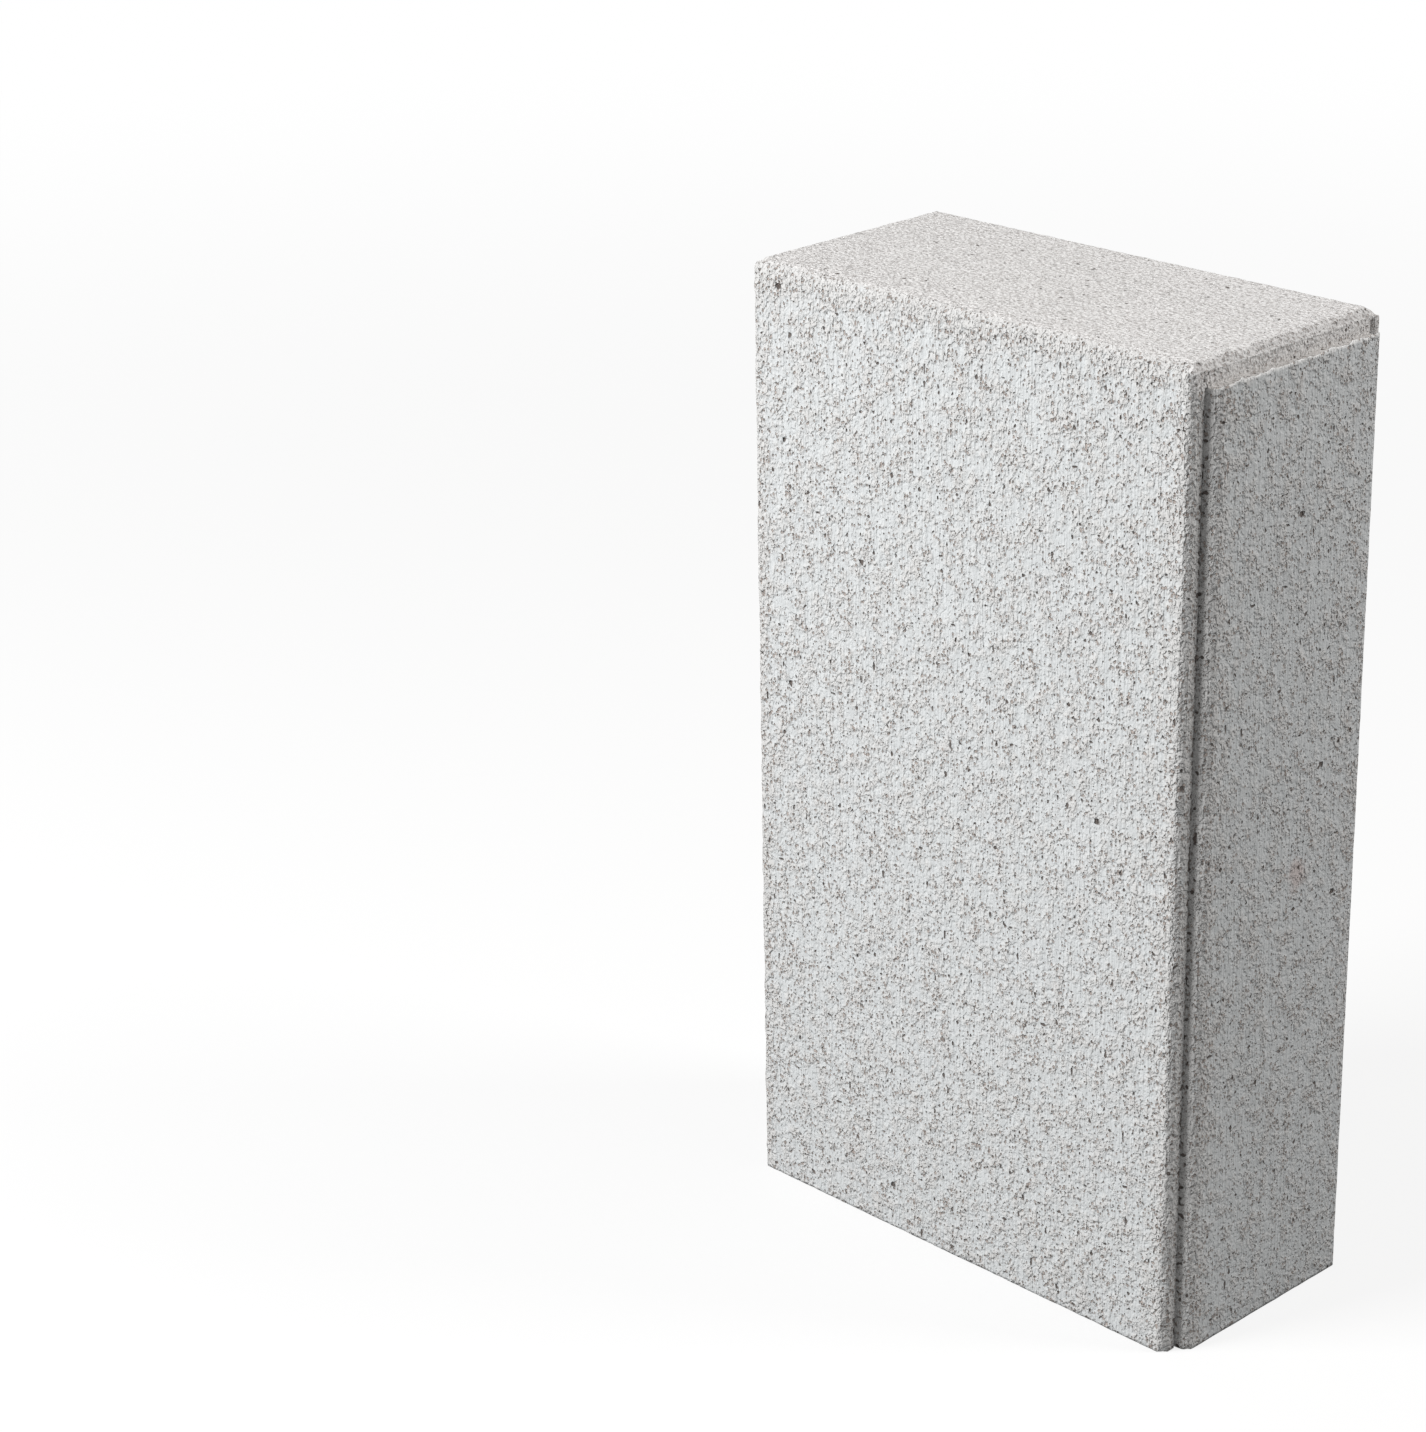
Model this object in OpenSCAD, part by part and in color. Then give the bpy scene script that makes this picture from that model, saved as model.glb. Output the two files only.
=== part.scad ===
// Concrete edging block, stood on its bed face with its show end up.
// X runs along the row of blocks, Y from the front face to the back, Z up.
// The origin is under the middle of the block, on the floor. Sizes in millimetres.

/* [Body] */
// Length of the body along the row, without the spacer panel
body_length = 166; // [120:1:320]
// Thickness from the front face to the back face
body_depth = 80; // [60:1:160]
// Height of the block as it stands
body_height = 300; // [150:5:500]
// Radius of the four upright corners
corner_radius = 2.5; // [0.5:0.25:3.5]

/* [Top chamfer] */
// How far the chamfer reaches in over the top face
chamfer_width = 2.5; // [1:0.25:6]
// How far the chamfer drops down each side
chamfer_drop = 2.25; // [1:0.25:5]

/* [Spacer panel] */
// How far the panel stands out of the right end
panel_proud = 4; // [1.5:0.25:8]
// Free strip between the front face and the panel
front_reveal = 6; // [4:0.5:15]
// Free strip between the panel and the back face
back_reveal = 3; // [1:0.25:12]
// Free strip between the top face and the panel's ledge
top_reveal = 7; // [6:0.5:20]
// Radius of the panel's two upright edges
panel_edge_radius = 1; // [0.25:0.25:1.25]

/* [Corner rib] */
// How far the rib at the back corner stands out of the right end
rib_proud = 0.75; // [0.25:0.25:1.25]
// Width of that rib, measured from the back face
rib_width = 2; // [1:0.25:3]

/* [Hidden] */

$fn = 48;
overlap = 5;                                  // how deep the panel and rib reach into the body
overall_length = body_length + panel_proud;
left_end = -overall_length / 2;               // X of the plain end
right_end = left_end + body_length;           // X of the end that carries the panel
front = -body_depth / 2;
back = body_depth / 2;

// A rectangle between two opposite corners, with all four corners rounded
module rounded_rectangle(low, high, radius) {
    size = high - low;
    translate([low.x + radius, low.y]) square([size.x - 2 * radius, size.y]);
    translate([low.x, low.y + radius]) square([size.x, size.y - 2 * radius]);
    for (x = [low.x + radius, high.x - radius], y = [low.y + radius, high.y - radius])
        translate([x, y]) circle(r = radius);
}

// Outline of one upright face: square at the floor, chamfered at the top corners
module chamfered_face(low, high) {
    shoulder = body_height - chamfer_drop;
    polygon([
        [low, 0], [high, 0],
        [high, shoulder], [high - chamfer_width, body_height],
        [low + chamfer_width, body_height], [low, shoulder]
    ]);
}

// The plain block: its plan, its front and its end outline cut each other
module body() {
    intersection() {
        linear_extrude(body_height)
            rounded_rectangle([left_end, front], [right_end, back], corner_radius);
        translate([0, back, 0]) rotate([90, 0, 0])
            linear_extrude(body_depth) chamfered_face(left_end, right_end);
        translate([left_end, 0, 0]) rotate([90, 0, 90])
            linear_extrude(body_length) chamfered_face(front, back);
    }
}

// The raised panel that keeps the next block in the row at its joint width
module spacer_panel() {
    linear_extrude(body_height - top_reveal)
        rounded_rectangle(
            [right_end - overlap, front + front_reveal],
            [right_end + panel_proud, back - back_reveal],
            panel_edge_radius
        );
}

// The low rib that squares off the back corner, from the floor to the foot of the chamfer
module corner_rib() {
    translate([right_end - overlap, back - rib_width, 0])
        cube([overlap + rib_proud, rib_width, body_height - chamfer_drop]);
}

module edging_block() {
    color([0.84, 0.84, 0.83]) union() {
        body();
        spacer_panel();
        corner_rib();
    }
}

edging_block();
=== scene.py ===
# Looks of a pressed concrete edging block: grey-white, fine-pored, drag-marked, with crumbly arrises.
import math

import bpy
import numpy as np
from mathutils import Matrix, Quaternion, Vector


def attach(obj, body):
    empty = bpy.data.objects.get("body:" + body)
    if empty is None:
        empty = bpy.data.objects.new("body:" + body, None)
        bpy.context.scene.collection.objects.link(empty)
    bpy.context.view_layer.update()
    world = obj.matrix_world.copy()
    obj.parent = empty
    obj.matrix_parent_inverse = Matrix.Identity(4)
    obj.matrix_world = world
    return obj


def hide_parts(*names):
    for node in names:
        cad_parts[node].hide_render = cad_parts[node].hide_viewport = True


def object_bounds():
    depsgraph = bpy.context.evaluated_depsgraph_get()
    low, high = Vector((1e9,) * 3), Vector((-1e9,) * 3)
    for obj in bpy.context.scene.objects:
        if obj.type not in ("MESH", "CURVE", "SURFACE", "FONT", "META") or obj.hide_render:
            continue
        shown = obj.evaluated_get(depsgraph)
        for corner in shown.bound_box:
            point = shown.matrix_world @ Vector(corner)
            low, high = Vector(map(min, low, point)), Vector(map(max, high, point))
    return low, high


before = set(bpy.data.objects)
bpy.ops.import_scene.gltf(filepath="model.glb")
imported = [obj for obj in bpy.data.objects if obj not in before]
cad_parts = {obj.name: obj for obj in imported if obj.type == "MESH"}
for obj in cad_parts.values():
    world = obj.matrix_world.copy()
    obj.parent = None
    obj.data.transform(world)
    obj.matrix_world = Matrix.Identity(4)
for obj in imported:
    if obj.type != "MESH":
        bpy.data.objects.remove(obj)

cadLow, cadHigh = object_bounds()
mm = 0.001  # one millimetre in metres
print("frame loaded")


# The block's shape: millimetres throughout, apart from shares and noise levels
block = {
    "chamferWidth": 2.5,  # how far the top chamfer reaches in over the top
    "chamferDrop": 2.25,  # how far it reaches down the sides
    "cornerRadius": 2.5,  # upright corners
    "panelProud": 4.0,  # spacer panel on the right end
    "frontReveal": 6.0,  # strip of the end left free in front of the panel
    "backReveal": 3.0,
    "topReveal": 7.0,
    "frontWall": 2.0,  # how far in the panel's front wall rounds over to its face
    "backWall": 1.0,
    "topWall": 1.0,
    "footDip": (0.21, 1.17),  # least and greatest depth of the hollow line along the front wall's foot
    "footWidth": 0.55,  # half the width of that line
    "footCrumble": (3.3, 1.7),  # coarse and fine size of its unevenness
    "burr": 0.70,  # mean height of the ragged burr along the ledge
    "burrRagged": 1.8,
    "burrLowest": 0.35,
    "burrCrumble": (3.1, 1.4),
    "bandStruck": 0.5,  # how much of the top's loose-sand relief the end has above the ledge
    "chamferSand": 0.5,  # share of loose sand on the upper rim of the other chamfers
    "bead": 0.25,  # raised bead along the foot of the right-hand chamfer, which takes a painted highlight
    "beadWidth": 0.3,
    "beadSize": 1.9,  # length of its pieces
    "beadContrast": 2.4,
    "beadGaps": 0.4,  # more leaves wider gaps between the pieces
    "beadHighlight": 0.5,  # takes this share of the burr's painted highlight
    "ribProud": 0.75,  # low rib that squares the rear right corner
    "ribWidth": 2.0,
    "ribEdge": 0.15,
    "slitDepth": 1.4,  # recess in front of the rib, above the ledge
    "slitWidth": 1.0,
    "slitTop": 3.3,  # from the ledge to the recess's upper end
    "slitFade": 0.9,  # the recess runs out over this length at its upper end
    "slitFoot": 2.0,  # and over this length below the ledge
    # Wear from 0 to 1 and how far it reaches: the upright corners, the panel's rims, the arrises that
    # the block stands on, and the four sides of the chamfer, at its foot and at its upper rim
    "cornerWear": {
        "frontLeft": (0.8, 1.5), "frontRight": (0.8, 1.5), "rearLeft": (0.3, 1.2), "rearRight": (0.1, 1.2),
    },
    "panelWear": {"front": (0.7, 1.4), "back": (0.12, 1.2)},
    "bedWear": (0.12, 1.0),
    "topWear": {"left": 0.25, "front": 0.95, "right": 0.7, "rear": 0.25},
    "topReach": 1.2,
    "topShares": (0.8, 0.7),
    "crumbleSizes": (2.6, 1.3),
    "evenWear": 0.1,
    "bites": 2.2,  # how deep the crumbled places are bitten out of an arris
    "bitesFrom": 0.35,  # noise level at which a bite starts
    "openReach": 5.0,  # how far beside an arris the skin is open
    "footShadeOpen": 2.0,  # how open it is along the foot of the panel's front wall, with more pits and holes: painted shade in that crease
    "footOpenAt": 0.5,  # how far in front of the wall that is strongest
    "footShadeReach": 1.6,
    "endClosed": 0.08,  # how much more closed the skin of the right end is
    "ledgeFade": 1.5,  # the painted shade on the ledge and in the crease above it fades out over this height above the ledge
    "waviness": 0.10,  # depth of the slow unevenness of a face
    "wavinessSize": 4.0,
    "poreSpacing": 11.0,  # one large pore at most in each cell of this size
    "poreShare": 0.5,  # share of the cells that hold one
    "poreRadius": (0.7, 1.4),
    "poreDepth": 0.5,
    "faceStep": 1.9,  # spacing of the mesh along the block
    "depthStep": 0.8,  # from front to back
    "heightStep": 2.2,
    "rimStep": 1.2,  # within a few millimetres of an arris
    "arrisStep": 0.6,  # and on a chamfer
    "crispStep": 0.15,  # width of an arris that stays crisp
    "seed": 7,
}

# The block's planes, in millimetres
low = np.array(cadLow) / mm
high = np.array(cadHigh) / mm
left, front, bed = low
back, top = high[1:]
right = high[0] - block["panelProud"]  # the end's own face, behind the panel
panelFront = front + block["frontReveal"]
panelBack = back - block["backReveal"]
panelTop = top - block["topReveal"]
ribFront = back - block["ribWidth"]
chamferFoot = top - block["chamferDrop"]


def spacedLines(start, *stretches):
    # Lines from start: each stretch (end, step) is cut into equal parts no longer than its step.
    lines = [np.array([start])]
    for end, step in stretches:
        parts = max(1, math.ceil(abs(end - start) / step - 1e-6))
        lines.append(np.linspace(start, end, parts + 1)[1:])
        start = end
    return np.concatenate(lines)


def blockLines():
    # Lines along X, Y and Z: close together at the chamfers, the corners and the panel's walls.
    rim, fine, crisp = block["rimStep"], block["arrisStep"], block["crispStep"]
    chamfer, topWall = block["chamferWidth"], block["topWall"]
    frontWall, backWall = block["frontWall"], block["backWall"]
    xLines = spacedLines(
        left, (left + chamfer, fine), (left + chamfer + crisp, crisp), (left + 6, rim),
        (right - 6, block["faceStep"]), (right - chamfer - crisp, rim),
        (right - chamfer, crisp), (right, fine),
    )
    yLines = spacedLines(
        front, (front + chamfer, fine), (front + chamfer + crisp, crisp),
        (panelFront - rim, rim), (panelFront, rim / 3), (panelFront + frontWall, frontWall / 8),
        (panelBack - backWall, block["depthStep"]), (panelBack, backWall / 6),
        (ribFront - 0.5, 0.25), (ribFront - 0.05, crisp), (ribFront + crisp, 0.1), (back, fine),
    )
    zLines = spacedLines(
        bed, (bed + 3, 1.0), (panelTop - 6, block["heightStep"]), (panelTop - topWall, 1.0),
        (panelTop, topWall / 8), (chamferFoot - fine, 0.8), (chamferFoot, crisp), (top, 0.5),
    )
    return xLines, yLines, zLines


def boxSurface(lines):
    # Six grids of a box, joined along shared lines: every crossing (i, j, k) has the number
    # (i * ny + j) * nz + k, and equal numbers become one vertex.
    count = [len(axisLines) for axisLines in lines]
    quads = []
    for axis in range(3):
        across, along = (axis + 1) % 3, (axis + 2) % 3
        a, b = np.meshgrid(np.arange(count[across] - 1), np.arange(count[along] - 1), indexing="ij")
        for side in (0, count[axis] - 1):
            index = np.zeros((4, a.size, 3), np.int64)
            index[:, :, axis] = side
            for corner, (da, db) in enumerate(((0, 0), (1, 0), (1, 1), (0, 1))):
                index[corner, :, across] = a.ravel() + da
                index[corner, :, along] = b.ravel() + db
            numbers = (index[..., 0] * count[1] + index[..., 1]) * count[2] + index[..., 2]
            quads.append(numbers.T if side else numbers.T[:, ::-1])
    used, quadCorners = np.unique(np.concatenate(quads), return_inverse=True)
    index = np.stack((used // (count[1] * count[2]), used // count[2] % count[1], used % count[2]), 1)
    flat = np.stack([lines[axis][index[:, axis]] for axis in range(3)], 1)
    return flat, index, quadCorners.reshape(-1, 4)


def cellNumbers(cells, seed):
    # A number from 0 to 1 for each cell: its three indices and the seed times large odd numbers,
    # joined by exclusive or, folded on themselves by shifts and cut to 24 bits.
    mixed = cells[..., 0] * 73856093 ^ cells[..., 1] * 19349663 ^ cells[..., 2] * 83492791
    mixed = mixed ^ seed * 2654435761
    mixed = ((mixed ^ (mixed >> 15)) * 2246822519) & 0xFFFFFFFF
    mixed = ((mixed ^ (mixed >> 13)) * 3266489917) & 0xFFFFFFFF
    return ((mixed ^ (mixed >> 16)) & 0xFFFFFF) / 0xFFFFFF


def softNoise(points, size, seed):
    # Value noise from 0 to 1: lattice corners hold random numbers, and a point blends its eight
    # corners' numbers by the weight 3t^2 - 2t^3 along each axis.
    place = points / size
    cell = np.floor(place).astype(np.int64)
    weight = place - cell
    weight = weight * weight * (3 - 2 * weight)
    total = np.zeros(len(points))
    for corner in np.ndindex(2, 2, 2):
        share = np.prod(np.where(corner, weight, 1 - weight), axis=1)
        total += share * cellNumbers(cell + np.array(corner), seed)
    return total


def crumbs(points, sizes, seed, coarseShare=0.6):
    # Coarse and fine noise from 0 to 1: share * coarse + (1 - share) * fine.
    coarse = softNoise(points, sizes[0], seed)
    fine = softNoise(points, sizes[1], seed + 1)
    return coarse * coarseShare + fine * (1 - coarseShare)


def poreField(points, spacing, share, radius, seed):
    # Round hollows: a cell holds one near its middle or none. Gives (point - middle) / radius for the
    # nearest hollow within poreEdge radii, and whether a point is clear of them all.
    poreEdge = 1.6
    cell = np.floor(points / spacing).astype(np.int64)
    nearest = np.full(len(points), poreEdge**2)
    offset = np.tile((0.0, 0.0, poreEdge), (len(points), 1))
    for step in np.ndindex(3, 3, 3):
        near = cell + np.array(step) - 1
        jitter = np.stack([cellNumbers(near, seed + axis) for axis in range(3)], 1)
        size = radius[0] + (radius[1] - radius[0]) * cellNumbers(near, seed + 3) ** 2
        away = (points - (near + 0.3 + 0.4 * jitter) * spacing) / size[:, None]
        squared = (away**2).sum(1)
        closer = (cellNumbers(near, seed + 4) < share) & (squared < nearest)
        nearest = np.where(closer, squared, nearest)
        offset = np.where(closer[:, None], away, offset)
    return offset, nearest == poreEdge**2


def bodySurface(flat):
    # The box drawn in to the body: every point slides straight towards a smaller box inside,
    # until it meets the chamfer planes and the round upright corners. Gives the places and
    # the outward directions along which they slid.
    inset = 6.0
    bodyHigh = np.array((right, back, top))
    inner = np.clip(flat, low + inset, bodyHigh - inset)
    ray = flat - inner
    reach = np.ones(len(flat))
    width, drop = block["chamferWidth"], block["chamferDrop"]
    # Chamfer planes: sign * (x - edge) / width + (z - top) / drop = -1, solved along the ray
    for axis in (0, 1):
        for edge, sign in ((low[axis], -1), (bodyHigh[axis], 1)):
            slope = sign * ray[:, axis] / width + ray[:, 2] / drop
            start = sign * (inner[:, axis] - edge) / width + (inner[:, 2] - top) / drop
            meet = (-1 - start) / np.maximum(slope, 1e-9)
            reach = np.where(slope > 1e-9, np.minimum(reach, meet), reach)
    # Round corners: the ray meets a circle about the corner's centre. The rib squares the fourth one.
    radius = block["cornerRadius"]
    for x, y, sx, sy in ((left, front, -1, -1), (right, front, 1, -1), (left, back, -1, 1)):
        centre = np.array([x - sx * radius, y - sy * radius])
        side = np.array([sx, sy])
        fromCentre = inner[:, :2] - centre
        outside = ((flat[:, :2] - centre) * side > 0).all(1)
        a = np.maximum((ray[:, :2] ** 2).sum(1), 1e-9)
        b = (ray[:, :2] * fromCentre).sum(1)
        c = (fromCentre**2).sum(1) - radius**2
        meet = (-b + np.sqrt(np.maximum(b * b - a * c, 0))) / a
        reach = np.where(outside, np.minimum(reach, meet), reach)
    length = np.linalg.norm(ray, axis=1, keepdims=True)
    return inner + ray * reach[:, None], ray / length


def raisePanel(places, outward, flat, onRight, lip):
    # The spacer panel. Front and back walls are quarter ellipses: at a share t of the wall's reach the
    # face stands sin(90 t) proud and lies 1 - cos(90 t) in. The top wall follows three profiles over
    # its height: how far it stands out, how far it lies down, and the burr's crest, lip millimetres
    # high. The dip at the front wall's foot is (least + crumbs * range) * exp(-(distance / width)^2).
    walls = (
        ((flat[:, 1] - panelFront) / block["frontWall"], block["frontWall"]),
        ((panelBack - flat[:, 1]) / block["backWall"], block["backWall"]),
    )
    heights, shifts = [], []
    for depth, reach in walls:
        angle = np.clip(depth, 0, 1) * math.pi / 2
        heights.append(np.sin(angle))
        shifts.append((1 - np.cos(angle) - np.clip(depth, 0, 1)) * reach)
    depth = np.clip((panelTop - flat[:, 2]) / block["topWall"], 0, 1)
    stops = (0, 0.125, 0.375, 0.5, 0.625, 0.75, 0.875, 1)
    heights.append(np.interp(depth, stops, (0, 0.45, 0.84, 0.88, 0.93, 1, 1, 1)))
    drop = np.interp(depth, stops, (0.15, 0.15, 0.25, 0, 0, 0, 0.3, 1))
    crest = np.interp(depth, stops, (0, 0, 0, 0.9, 1, 0.8, 0.1, 0))
    crest = np.where(onRight & (flat[:, 2] < panelTop + 1e-6), crest, 0)
    beside = np.minimum(heights[0], heights[1])
    up = np.where(onRight, np.minimum(beside, heights[2]), 0)
    least, most = block["footDip"]
    dip = least + (most - least) * crumbs(flat, block["footCrumble"], block["seed"] + 6)
    dip = dip * np.exp(-(((flat[:, 1] - panelFront) / block["footWidth"]) ** 2)) * (flat[:, 2] < panelTop)
    places[:, 0] += up * block["panelProud"] - np.where(onRight, dip, 0)
    places[:, 1] += np.where(onRight, (shifts[0] - shifts[1]) * heights[2], 0)
    places[:, 2] -= np.where(onRight, (drop - depth) * block["topWall"] * beside, 0) - crest * lip * beside
    # Outward directions lean over the walls, less and less over the first millimetres in
    leanReach = 2.0
    lean = [np.clip(1 - depth * reach / leanReach, 0, 1) * (up > 0) for depth, reach in walls]
    outward[:, 1] += lean[1] - lean[0]
    outward[:, 2] += np.clip(1 - (panelTop - flat[:, 2]) / leanReach, 0, 1) * (up > 0)
    # Where the burr's crest takes its painted highlight
    burr = np.where(onRight & (depth > 0.45) & (depth < 0.8), beside, 0)
    return crest * beside, burr


def raiseRib(places, flat, onRight, onRear):
    # The rib at the rear right corner: full height over its width, and the rear face's last
    # few millimetres stretch in proportion to meet it. A short slit in front of it is sunk into
    # the end: a trapezium across, and one from below the ledge to the slit's upper end.
    edge, width = block["ribEdge"], block["slitWidth"]
    tall = np.interp(flat[:, 2], [chamferFoot - edge, chamferFoot], [1, 0])
    acrossEnd = np.interp(flat[:, 1], [ribFront, ribFront + edge], [0, 1])
    acrossRear = np.interp(flat[:, 0], [right - block["ribWidth"], right], [0, 1])
    share = np.where(onRight, acrossEnd, np.where(onRear, acrossRear, 0))
    places[:, 0] += share * tall * block["ribProud"]
    slitTop = panelTop + block["slitTop"]
    slitEnds = [panelTop - block["slitFoot"], panelTop, slitTop - block["slitFade"], slitTop]
    slitSides = [ribFront - width, ribFront - width / 2, ribFront - 0.05, ribFront]
    slit = np.interp(flat[:, 1], slitSides, [0, 1, 1, 0]) * np.interp(flat[:, 2], slitEnds, [0, 1, 1, 0])
    places[:, 0] -= np.where(onRight, slit, 0) * block["slitDepth"]


def blockArrises():
    # The arrises that wear: each is a line along one axis, given as the two other axes with their
    # values, how much it wears and how far that reaches.
    corner, panel, topWear = block["cornerWear"], block["panelWear"], block["topWear"]
    footShare, rimShare = block["topShares"]
    arrises = [
        (0, left, 1, front, *corner["frontLeft"]),
        (0, right, 1, front, *corner["frontRight"]),
        (0, left, 1, back, *corner["rearLeft"]),
        (0, right, 1, back, *corner["rearRight"]),
        (0, high[0], 1, panelFront + block["frontWall"] / 2, *panel["front"]),
        (0, high[0], 1, panelBack, *panel["back"]),
    ]
    sides = (
        (0, left, 1, topWear["left"]),
        (0, right, -1, topWear["right"]),
        (1, front, 1, topWear["front"]),
        (1, back, -1, topWear["rear"]),
    )
    for axis, side, inward, wear in sides:
        rim = side + inward * block["chamferWidth"]
        arrises.append((axis, side, 2, chamferFoot, wear * footShare, block["topReach"]))
        arrises.append((axis, rim, 2, top, wear * rimShare, block["topReach"]))
        arrises.append((axis, side, 2, bed, *block["bedWear"]))
    return arrises


def nearArris(places, arrises):
    # Closeness to the block's arrises: a point's value is the largest
    # wear * exp(-(distance / reach)^2).
    closest = np.zeros(len(places))
    for axisA, a, axisB, b, wear, reach in arrises:
        squared = (places[:, axisA] - a) ** 2 + (places[:, axisB] - b) ** 2
        closest = np.maximum(closest, wear * np.exp(-squared / reach**2))
    return closest


def blockMesh(places, quads, values, fromPore):
    # places in millimetres; values has one number for each point and each name the concrete reads
    mesh = bpy.data.meshes.new("pressed_edging_block")
    mesh.from_pydata([], [], [])
    mesh.vertices.add(len(places))
    mesh.vertices.foreach_set("co", (places * mm).astype(np.float32).ravel())
    mesh.loops.add(quads.size)
    mesh.loops.foreach_set("vertex_index", quads.astype(np.int32).ravel())
    mesh.polygons.add(len(quads))
    mesh.polygons.foreach_set("loop_start", np.arange(0, quads.size, 4, dtype=np.int32))
    mesh.update(calc_edges=True)
    mesh.polygons.foreach_set("use_smooth", np.ones(len(quads), bool))
    for name, numbers in values.items():
        layer = mesh.attributes.new(name, "FLOAT", "POINT")
        layer.data.foreach_set("value", numbers.astype(np.float32))
    layer = mesh.attributes.new("fromPore", "FLOAT_VECTOR", "POINT")
    layer.data.foreach_set("vector", fromPore.astype(np.float32).ravel())
    mesh.validate()
    return mesh


def makeBlock(material):
    # place = body with panel and rib - outward * depth, where
    # depth = slow wave * (1 - crest) - bead + pore dent + closeness to an arris * (even wear + bites)
    flat, index, quads = boxSurface(blockLines())
    places, outward = bodySurface(flat)
    intoTop = np.clip((places[:, 2] - chamferFoot) / block["chamferDrop"], 0, 1)
    onRight = index[:, 0] == index[:, 0].max()
    onRear = index[:, 1] == index[:, 1].max()
    seed = block["seed"]
    alongRim = flat * (0, 1, 0)
    lip = block["burr"] + (crumbs(alongRim, block["burrCrumble"], seed + 3, 0.5) - 0.5) * block["burrRagged"]
    crest, burr = raisePanel(places, outward, flat, onRight, np.maximum(lip, block["burrLowest"]))
    raiseRib(places, flat, onRight, onRear)
    outward /= np.linalg.norm(outward, axis=1, keepdims=True)

    arrises = blockArrises()
    arris = nearArris(places, arrises)
    bites = np.clip(crumbs(places, block["crumbleSizes"], seed) - block["bitesFrom"], 0, 1) * block["bites"]
    wave = softNoise(places, block["wavinessSize"], seed + 2) * block["waviness"]
    pores = block["poreSpacing"], block["poreShare"], block["poreRadius"]
    fromPore, clear = poreField(places, *pores, seed + 10)
    dent = np.clip(1 - (fromPore**2).sum(1), 0, 1) * block["poreDepth"]
    beadPlace = (flat[:, 2] - chamferFoot + block["beadWidth"] / 2) / block["beadWidth"]
    bead = onRight * np.exp(-(beadPlace**2))
    pieces = softNoise(alongRim, block["beadSize"], seed + 5) * block["beadContrast"] - block["beadGaps"]
    bead = bead * np.clip(pieces, 0, 1)
    depth = wave * (1 - crest) - bead * block["bead"] + dent + arris * (block["evenWear"] + bites)
    places -= outward * depth[:, None]
    places = np.clip(places, low, high)

    # What the concrete reads: loose sand in colour (sandy) and in relief (struck), the open skin beside worn
    # arrises, which along the foot of the panel's front wall adds pits and holes as painted shade in that
    # crease, the burr's and the bead's painted highlight, the painted shade on the ledge and in the crease
    # above it, and where no pore is near (clear).
    # All are from 0 to 1, but the open skin is above 1 along the foot of the panel's front wall.
    overEnd = places[:, 0] > right - block["chamferWidth"] - 0.1
    aboveLedge = onRight & (flat[:, 2] > panelTop - block["topWall"] / 2)
    sandy = np.where(intoTop == 1, 1, intoTop * block["chamferSand"])
    sandy = np.where(aboveLedge | overEnd & (intoTop > 0), 1 - burr, sandy)
    struck = np.where(overEnd, block["bandStruck"] * sandy, sandy)
    roughAndFootShade = nearArris(places, [(*arrisLine[:5], block["openReach"]) for arrisLine in arrises])
    # Along the foot of the panel's front wall the skin opens further, for more pits and holes: painted shade
    # in that crease
    footShadeLine = (0, right, 1, panelFront - block["footOpenAt"], block["footShadeOpen"], block["footShadeReach"])
    roughAndFootShade += nearArris(places, [footShadeLine]) - block["endClosed"] * onRight
    besidePanel = (flat[:, 1] > panelFront) & (flat[:, 1] < panelBack)
    fade = np.clip(1 - (flat[:, 2] - panelTop) / block["ledgeFade"], 0, 1)
    values = {
        "sandy": sandy,
        "struck": struck,
        "roughAndFootShade": roughAndFootShade,
        # Painted highlight: the burr's crest, and the bead in part
        "burr": np.maximum(burr, bead * block["beadHighlight"]),
        # Painted shade on the ledge and in the crease above it
        "ledge": aboveLedge * besidePanel * (1 - burr) * fade,
        "clear": clear,
    }
    mesh = blockMesh(places, quads, values, fromPore)
    mesh.materials.append(material)
    piece = bpy.data.objects.new("pressed_edging_block", mesh)
    bpy.context.scene.collection.objects.link(piece)
    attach(piece, "root")
    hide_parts("edging_block")
    print("block:", len(places), "points,", 2 * len(quads), "triangles")
    return piece


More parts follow.
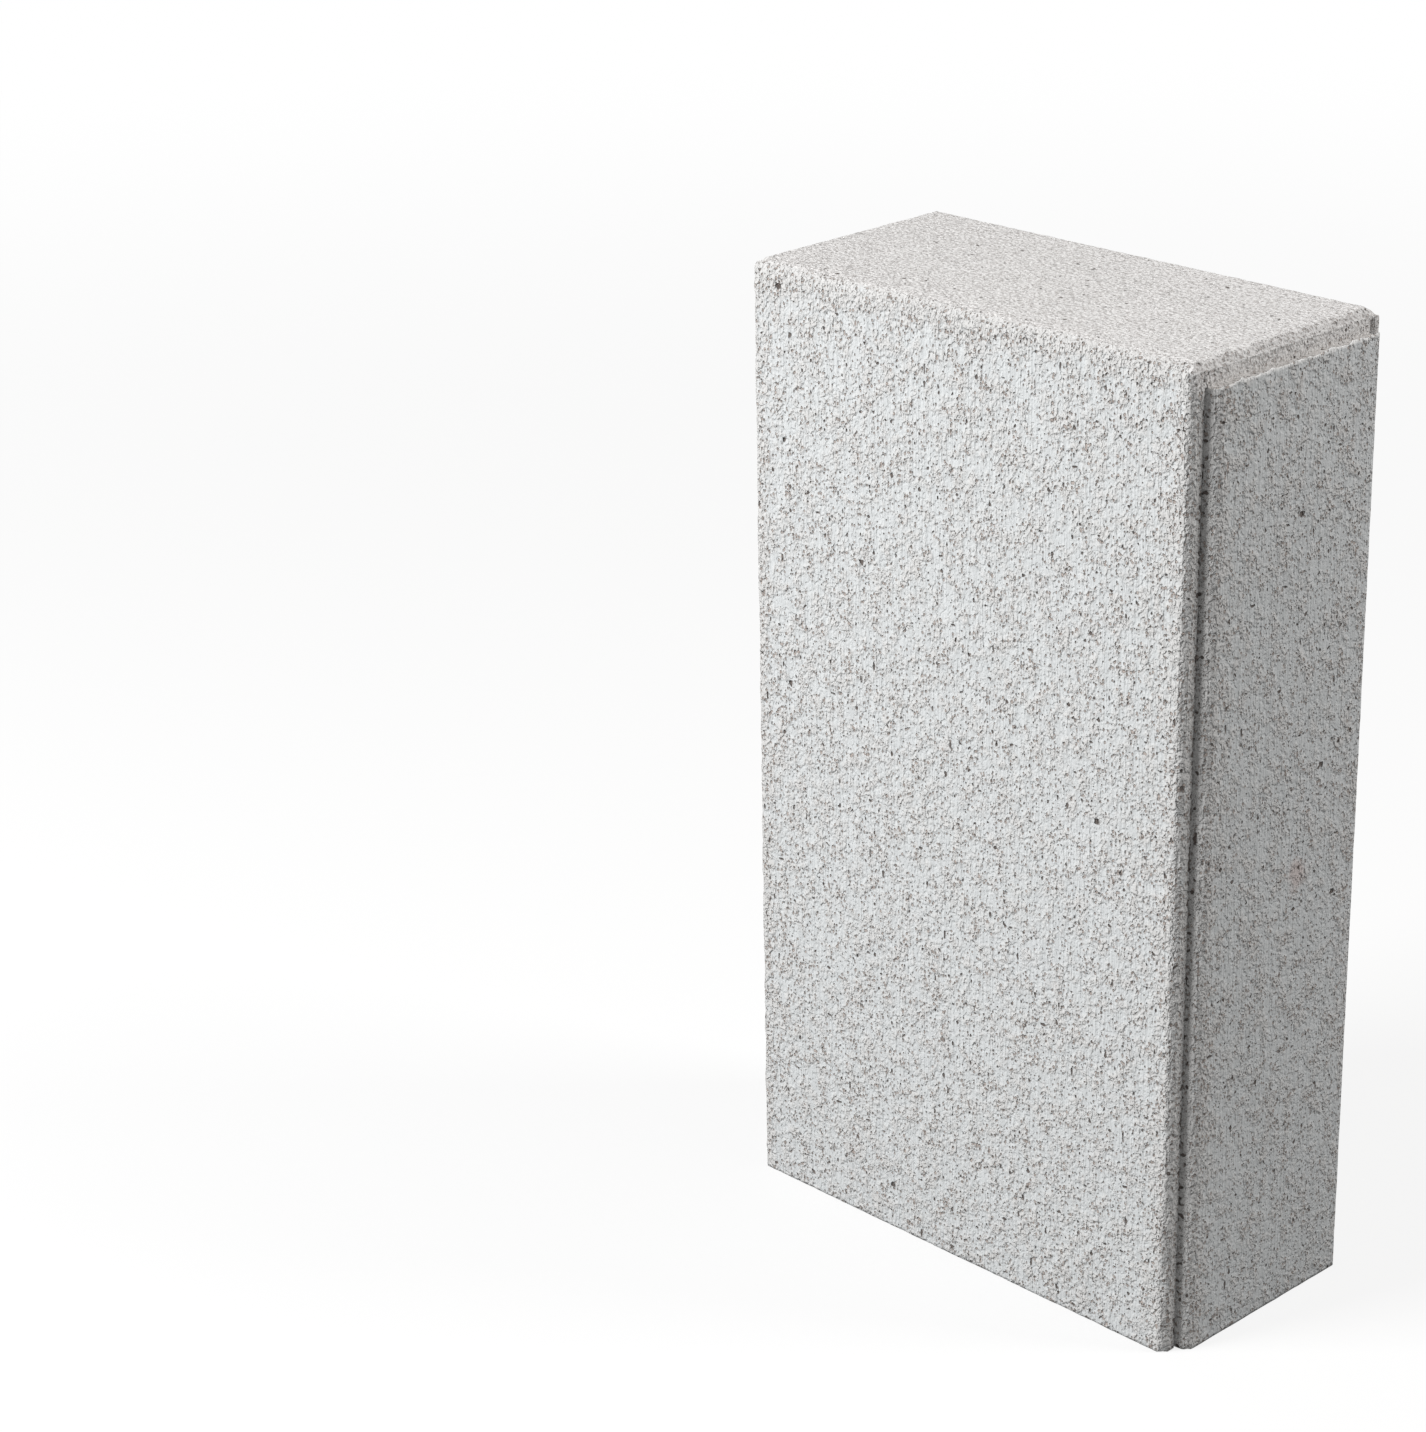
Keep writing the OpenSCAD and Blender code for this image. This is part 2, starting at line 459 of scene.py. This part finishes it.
# The concrete: colours and the shares they take, then sizes and heights in millimetres. A pair whose
# name ends in From holds the two noise levels at which something starts and is complete.
concrete = {
    "skinDark": (0.675, 0.695, 0.701),  # smooth cement skin, in the drag lines
    "skinLight": (0.75, 0.77, 0.776),  # and between them
    "sand": (0.725, 0.719, 0.708),  # open, sandy texture
    "sandDark": (0.49, 0.465, 0.45),  # single sand grains on the top and the ledge
    "sandLight": (0.875, 0.862, 0.852),
    "pore": (0.36, 0.265, 0.215),  # painted shade inside a pit, warm-tinted
    "poreShare": 0.62,  # how much of that painted shade a pit takes
    "deep": (0.08, 0.065, 0.058),  # painted shadow inside a deep hole or large pore
    "deepShare": 0.8,
    "hollowFrom": (0.35, 1.0),  # how far down a hollow takes its painted shade
    # Painted shade on the ledge and in the crease above it
    "ledge": (0.50, 0.475, 0.45),
    "ledgeShare": 0.45,
    "burr": (0.97, 0.97, 0.96),  # painted highlight along the rim of the ledge
    "stain": (0.665, 0.58, 0.555),  # one faint reddish spot on the right end
    "stainShare": 0.8,
    "stainPlace": (9.5, 139.0),  # its Y and Z
    "stainRadius": 7.5,
    "stainEdge": (1.35, 0.65),  # where it starts and is complete, in radii
    "stainSize": 5.0,  # lumps in its outline
    "stretch": 0.85,  # pits and grains are this share as wide as they are tall
    "patchSize": 4.0,  # patches where the skin is open
    "patchWide": 9.0,  # and their slow change
    "patchWideShare": 0.3,
    "wearOpens": 0.30,  # how much more open the skin is beside a worn arris, and along the foot of the panel's front wall as painted shade in that crease
    "openFrom": (0.38, 0.68),
    "pitSpacing": 1.0,
    "pitRadius": 0.36,  # of the widest pits, in spacings
    "pitFrom": (0.34, 0.80),  # random numbers at which a cell starts to have a pit, and has the widest
    "pitOpen": 0.16,  # how much wider pits are where the skin is open
    "pitEdge": 0.17,  # width of a pit's slope, in spacings
    "pitDepth": 0.80,
    "pitStruck": 0.55,  # share of a pit that loose sand fills
    "rimSize": 1.2,  # bends in the rims of pits and pores
    "rimBend": 0.7,
    "holeSize": 1.8,  # single deep holes
    "holeFrom": (0.24, 0.165),
    "holeStruck": 0.04,  # fewer in loose sand
    "holeFootShade": 0.13,  # and more along the foot of the panel's front wall, as painted shade in that crease
    "poreFrom": (1.42, 0.95),  # in radii from the middle of a large pore
    "poreBend": 0.9,
    "poreDepth": 1.2,  # on top of the pores' dents in the mesh
    "grainSize": 1.3,  # millimetres from grain to grain
    "grainHeight": 0.46,  # from a void's rim to a grain's crown
    "crownFrom": (0.28, 0.66),
    "skinLevel": (0.50, 0.85),  # where the skin cuts the grains off: closed and open, in grain heights
    "skinBlend": 0.06,  # how softly
    "sandSize": 0.90,
    "sandHeight": 0.35,
    "looseFrom": (0.32, 0.50),
    "looseOnSkin": 0.15,  # share of the loose sand that is left on closed skin
    "dragSize": 0.8,  # from drag line to drag line
    "dragLength": 25.0,  # in widths
    "dragHeight": 0.34,
    "dragFrom": (0.35, 0.65),
    "topSize": 1.2,  # lumps on the top
    "topHeight": 1.0,
    "sandGrain": 0.9,
    "sandToneFrom": (0.32, 0.56),
    "roughness": 0.92,
    "specular": 0.25,
}


class Nodes:
    # Short ways to add and join shader nodes in one tree
    def __init__(self, tree):
        self.tree = tree
        tree.nodes.clear()

    def add(self, kind, inputs, output=0, **settings):
        node = self.tree.nodes.new(kind)
        for name, value in settings.items():
            setattr(node, name, value)
        for name, value in inputs.items():
            self.set(node.inputs[name], value)
        return node.outputs[output]

    def set(self, socket, value):
        if isinstance(value, bpy.types.NodeSocket):
            self.tree.links.new(value, socket)
        else:
            socket.default_value = value

    def finish(self, kind, shader):
        output = self.tree.nodes.new(kind)
        self.set(output.inputs["Surface"], shader)

    def seenDirectly(self):
        # 1 for rays from the camera, mirrored and refracted ones too, and 0 for light on the block
        path = self.tree.nodes.new("ShaderNodeLightPath")
        seen = self.math("MAXIMUM", path.outputs["Is Camera Ray"], path.outputs["Is Glossy Ray"])
        return self.math("MAXIMUM", seen, path.outputs["Is Transmission Ray"])

    def math(self, operation, a, b=0.0, c=0.0, clamp=False):
        return self.add("ShaderNodeMath", {0: a, 1: b, 2: c}, operation=operation, use_clamp=clamp)

    def plus(self, a, factor, b):
        # a * factor + b
        return self.math("MULTIPLY_ADD", a, factor, b)

    def ramp(self, value, start, end, toStart=0.0, toEnd=1.0):
        # Smooth step of value from start..end to toStart..toEnd
        inputs = {"Value": value, "From Min": start, "From Max": end, "To Min": toStart, "To Max": toEnd}
        return self.add("ShaderNodeMapRange", inputs, interpolation_type="SMOOTHSTEP")

    def noise(self, place, size, detail=0.0, roughness=0.5):
        # Fractal noise whose coarsest lumps are size millimetres apart
        inputs = {"Vector": place, "Scale": 1 / (size * mm), "Detail": detail, "Roughness": roughness}
        return self.add("ShaderNodeTexNoise", inputs, normalize=True)

    def cells(self, place, size, output):
        # Distance to the nearest cell's middle, in cell sizes, or the cell's random Color
        return self.add("ShaderNodeTexVoronoi", {"Vector": place, "Scale": 1 / (size * mm)}, output)

    def mix(self, share, a, b):
        node = self.tree.nodes.new("ShaderNodeMix")
        node.data_type = "RGBA"
        self.set(node.inputs[0], share)
        for socket, value in ((node.inputs[6], a), (node.inputs[7], b)):
            self.set(socket, value if isinstance(value, bpy.types.NodeSocket) else (*value, 1.0))
        return node.outputs[2]

    def attribute(self, name, output=2):
        return self.add("ShaderNodeAttribute", {}, output, attribute_name=name)


def pressedConcrete():
    # Height of the pressed faces = grainHeight * min(crown, skin level) + sandHeight * loose sand
    # + dragHeight * drag lines, and height where sand was struck off = topHeight * lumps. Hollows are
    # pitDepth deep in both: the largest of pits, single holes and pores, and pores go poreDepth
    # deeper. A pit fills its cell's middle out to a random radius with a bent rim. Open patches and
    # worn arrises have more sand and wider pits. Grains, sand, drag lines and lumps are noise.
    material = bpy.data.materials.new("pressed_concrete")
    material.use_nodes = True
    n = Nodes(material.node_tree)
    place = n.add("ShaderNodeTexCoord", {}, output="Object")
    drawn = n.add("ShaderNodeMapping", {"Vector": place, "Scale": (1.0, 1.0, concrete["stretch"])})
    streak = n.add("ShaderNodeMapping", {"Vector": place, "Scale": (1.0, 1.0, 1 / concrete["dragLength"])})
    sandy, struck, roughAndFootShade = n.attribute("sandy"), n.attribute("struck"), n.attribute("roughAndFootShade")
    fromPore = n.add("ShaderNodeVectorMath", {0: n.attribute("fromPore", 1)}, 1, operation="LENGTH")
    fromPore = n.plus(n.attribute("clear"), 20.0, fromPore)

    # Where the skin is open
    slow = n.math("SUBTRACT", n.noise(drawn, concrete["patchWide"], 1.0), 0.5)
    patches = n.plus(slow, concrete["patchWideShare"], n.noise(drawn, concrete["patchSize"], 2.0, 0.6))
    openSkin = n.ramp(n.plus(roughAndFootShade, concrete["wearOpens"], patches), *concrete["openFrom"])

    # Hollows, 1 at their bottom
    bend = n.noise(drawn, concrete["rimSize"], 1.0, 0.6)
    chance = n.cells(drawn, concrete["pitSpacing"], "Color")
    pitRadius = n.ramp(chance, *concrete["pitFrom"], 0.0, concrete["pitRadius"])
    pitRadius = n.plus(openSkin, concrete["pitOpen"], pitRadius)
    pit = n.math("SUBTRACT", pitRadius, n.cells(drawn, concrete["pitSpacing"], "Distance"))
    pit = n.plus(n.math("SUBTRACT", bend, 0.5), concrete["rimBend"], pit)
    pit = n.ramp(pit, 0.0, concrete["pitEdge"])
    pit = n.math("MULTIPLY", pit, n.plus(struck, -concrete["pitStruck"], 1.0))
    hole = n.plus(struck, concrete["holeStruck"], n.noise(place, concrete["holeSize"]))
    # More dark holes along the foot of the panel's front wall: painted shade in that crease
    hole = n.plus(n.math("SUBTRACT", roughAndFootShade, 1.0, clamp=True), -concrete["holeFootShade"], hole)
    hole = n.ramp(hole, *concrete["holeFrom"])
    pore = n.ramp(n.plus(bend, concrete["poreBend"], fromPore), *concrete["poreFrom"])
    hollow = n.math("MAXIMUM", n.math("MAXIMUM", pit, hole), pore)

    # Height in millimetres
    crown = n.ramp(n.noise(drawn, concrete["grainSize"], 1.0), *concrete["crownFrom"])
    level = n.ramp(openSkin, 0.0, 1.0, *concrete["skinLevel"])
    closed = n.math("SMOOTH_MIN", crown, level, concrete["skinBlend"])
    loose = n.ramp(n.noise(drawn, concrete["sandSize"], 1.0), *concrete["looseFrom"])
    loose = n.math("MULTIPLY", n.plus(openSkin, 1 - concrete["looseOnSkin"], concrete["looseOnSkin"]), loose)
    drag = n.noise(streak, concrete["dragSize"], 1.0)
    pressed = n.math("MULTIPLY", closed, concrete["grainHeight"])
    pressed = n.plus(loose, concrete["sandHeight"], pressed)
    pressed = n.plus(drag, concrete["dragHeight"], pressed)
    sanded = n.math("MULTIPLY", n.noise(place, concrete["topSize"], 1.0, 0.6), concrete["topHeight"])
    height = n.plus(struck, n.math("SUBTRACT", sanded, pressed), pressed)
    height = n.plus(hollow, -concrete["pitDepth"], height)
    height = n.plus(pore, -concrete["poreDepth"], height)
    bump = n.add("ShaderNodeBump", {"Height": height, "Distance": mm, "Strength": 1.0})

    # Colour
    skin = n.mix(n.ramp(drag, *concrete["dragFrom"]), concrete["skinDark"], concrete["skinLight"])
    base = n.mix(openSkin, skin, concrete["sand"])
    grains = n.ramp(n.noise(place, concrete["sandGrain"], 2.0, 0.7), *concrete["sandToneFrom"])
    base = n.mix(sandy, base, n.mix(grains, concrete["sandDark"], concrete["sandLight"]))
    # Painted shade on the ledge and in the crease above it
    base = n.mix(n.math("MULTIPLY", n.attribute("ledge"), concrete["ledgeShare"]), base, concrete["ledge"])
    # Painted highlight on the burr's crest and the bead
    base = n.mix(n.attribute("burr"), base, concrete["burr"])
    spotMiddle = (high[0] * mm, concrete["stainPlace"][0] * mm, concrete["stainPlace"][1] * mm)
    spotRadius = concrete["stainRadius"] * mm
    fromSpot = n.add("ShaderNodeVectorMath", {0: place, 1: spotMiddle}, 1, operation="DISTANCE")
    fromSpot = n.plus(n.noise(place, concrete["stainSize"], 2.0, 0.7), spotRadius, fromSpot)
    spot = n.ramp(fromSpot, *(spotRadius * edge for edge in concrete["stainEdge"]))
    base = n.mix(n.math("MULTIPLY", spot, concrete["stainShare"]), base, concrete["stain"])
    # Painted shade in pits, holes and pores, and a darker painted shadow in holes and pores
    shade = n.math("MULTIPLY", n.ramp(hollow, *concrete["hollowFrom"]), concrete["poreShare"])
    colour = n.mix(shade, base, concrete["pore"])
    deepShade = n.math("MULTIPLY", n.math("MAXIMUM", hole, pore), concrete["deepShare"])
    colour = n.mix(deepShade, colour, concrete["deep"])
    looks = {
        "Base Color": colour,
        "Roughness": concrete["roughness"],
        "Specular IOR Level": concrete["specular"],
        "Normal": bump,
    }
    n.finish("ShaderNodeOutputMaterial", n.add("ShaderNodeBsdfPrincipled", looks))
    return material


# Floor, light and camera
studio = {
    "floorReach": 12.0,  # metres from the block to the floor's edge
    "floorGrey": 0.25,  # what the floor throws back at the block
    "floorShown": 0.80,  # share of plain white in how the camera sees the floor beside the block
    "whiteFrom": 1.8,  # metres out from where it is all white
    "shadowReach": 0.3,  # metres out to where that share starts to rise
    "skyLevel": 0.23,
    "lampDistance": 1.5,  # metres from the middle of the block
}
# Softboxes: azimuth and elevation in degrees (azimuth 0 is straight in front of the block), size in
# metres, the brightness of a white surface that faces the lamp, and its colour
softboxes = {
    "key": {
        "azimuth": -27.0, "elevation": 29.0, "size": 0.7, "level": 1.0, "colour": (1.0, 1.0, 1.0),
    },
    "fill": {
        "azimuth": 128.0, "elevation": 43.0, "size": 0.45, "level": 0.465, "colour": (1.0, 0.982, 0.966),
    },
}
cameraValues = {
    "azimuth": 46.432,  # degrees round from the front
    "elevation": 21.798,
    "roll": 1.119,
    "aim": (-0.07447, -0.06853, 0.16681),
    "distance": 1.1062,
    "lens": 92.99,
}


def awayFrom(azimuth, elevation):
    # Unit vector from the block towards a place at that azimuth and elevation
    a, e = math.radians(azimuth), math.radians(elevation)
    return Vector((math.sin(a) * math.cos(e), -math.cos(a) * math.cos(e), math.sin(e)))


def floorMaterial():
    # Grey to the block, and to the camera a white that still shows the block's shadow
    material = bpy.data.materials.new("studio_floor")
    material.use_nodes = True
    n = Nodes(material.node_tree)
    seen = n.seenDirectly()
    grey = (studio["floorGrey"],) * 3
    diffuse = n.add("ShaderNodeBsdfDiffuse", {"Color": n.mix(seen, grey, (1.0, 1.0, 1.0))})
    white = n.add("ShaderNodeEmission", {"Color": (1.0, 1.0, 1.0, 1.0), "Strength": 1.0})
    place = n.add("ShaderNodeTexCoord", {}, "Object")
    away = n.add("ShaderNodeVectorMath", {0: place}, 1, operation="LENGTH")
    shown = n.ramp(away, studio["shadowReach"], studio["whiteFrom"], studio["floorShown"], 1.0)
    share = n.math("MULTIPLY", seen, shown)
    n.finish("ShaderNodeOutputMaterial", n.add("ShaderNodeMixShader", {0: share, 1: diffuse, 2: white}))
    return material


def makeFloor():
    reach = studio["floorReach"]
    mesh = bpy.data.meshes.new("studio_floor")
    corners = [(-reach, -reach, 0), (reach, -reach, 0), (reach, reach, 0), (-reach, reach, 0)]
    mesh.from_pydata(corners, [], [(0, 1, 2, 3)])
    mesh.materials.append(floorMaterial())
    floor = bpy.data.objects.new("studio_floor", mesh)
    bpy.context.scene.collection.objects.link(floor)


def makeLight():
    # A lamp's energy is level * (pi * distance)^2, which lights a white surface that faces it to level.
    world = bpy.data.worlds.new("studio_light")
    bpy.context.scene.world = world
    world.use_nodes = True
    n = Nodes(world.node_tree)
    level = n.math("MAXIMUM", n.seenDirectly(), studio["skyLevel"])
    background = n.add("ShaderNodeBackground", {"Color": (1.0, 1.0, 1.0, 1.0), "Strength": level})
    n.finish("ShaderNodeOutputWorld", background)

    centre = Vector((0, 0, cadHigh[2] / 2))
    for name, box in softboxes.items():
        away = awayFrom(box["azimuth"], box["elevation"])
        lamp = bpy.data.lights.new(name + "_softbox", "AREA")
        lamp.shape = "SQUARE"
        lamp.size = box["size"]
        lamp.color = box["colour"]
        lamp.energy = box["level"] * (math.pi * studio["lampDistance"]) ** 2
        holder = bpy.data.objects.new(name + "_softbox", lamp)
        holder.location = centre + away * studio["lampDistance"]
        holder.rotation_mode = "QUATERNION"
        holder.rotation_quaternion = (-away).to_track_quat("-Z", "Y")
        bpy.context.scene.collection.objects.link(holder)


def makeCamera():
    # Looks back at the aim from distance away, level, then turned by the roll about its own axis.
    back = awayFrom(cameraValues["azimuth"], cameraValues["elevation"])
    data = bpy.data.cameras.new("view_camera")
    data.lens = cameraValues["lens"]
    data.clip_start, data.clip_end = 0.05, 60
    camera = bpy.data.objects.new("view_camera", data)
    camera.location = Vector(cameraValues["aim"]) + back * cameraValues["distance"]
    camera.rotation_mode = "QUATERNION"
    level = (-back).to_track_quat("-Z", "Y")
    camera.rotation_quaternion = level @ Quaternion((0, 0, 1), -math.radians(cameraValues["roll"]))
    bpy.context.scene.collection.objects.link(camera)
    bpy.context.scene.camera = camera


bpy.context.scene.view_settings.view_transform = "Standard"
makeCamera()
makeFloor()
makeLight()
print("camera, floor and light made")
makeBlock(pressedConcrete())

bpy.context.view_layer.update()
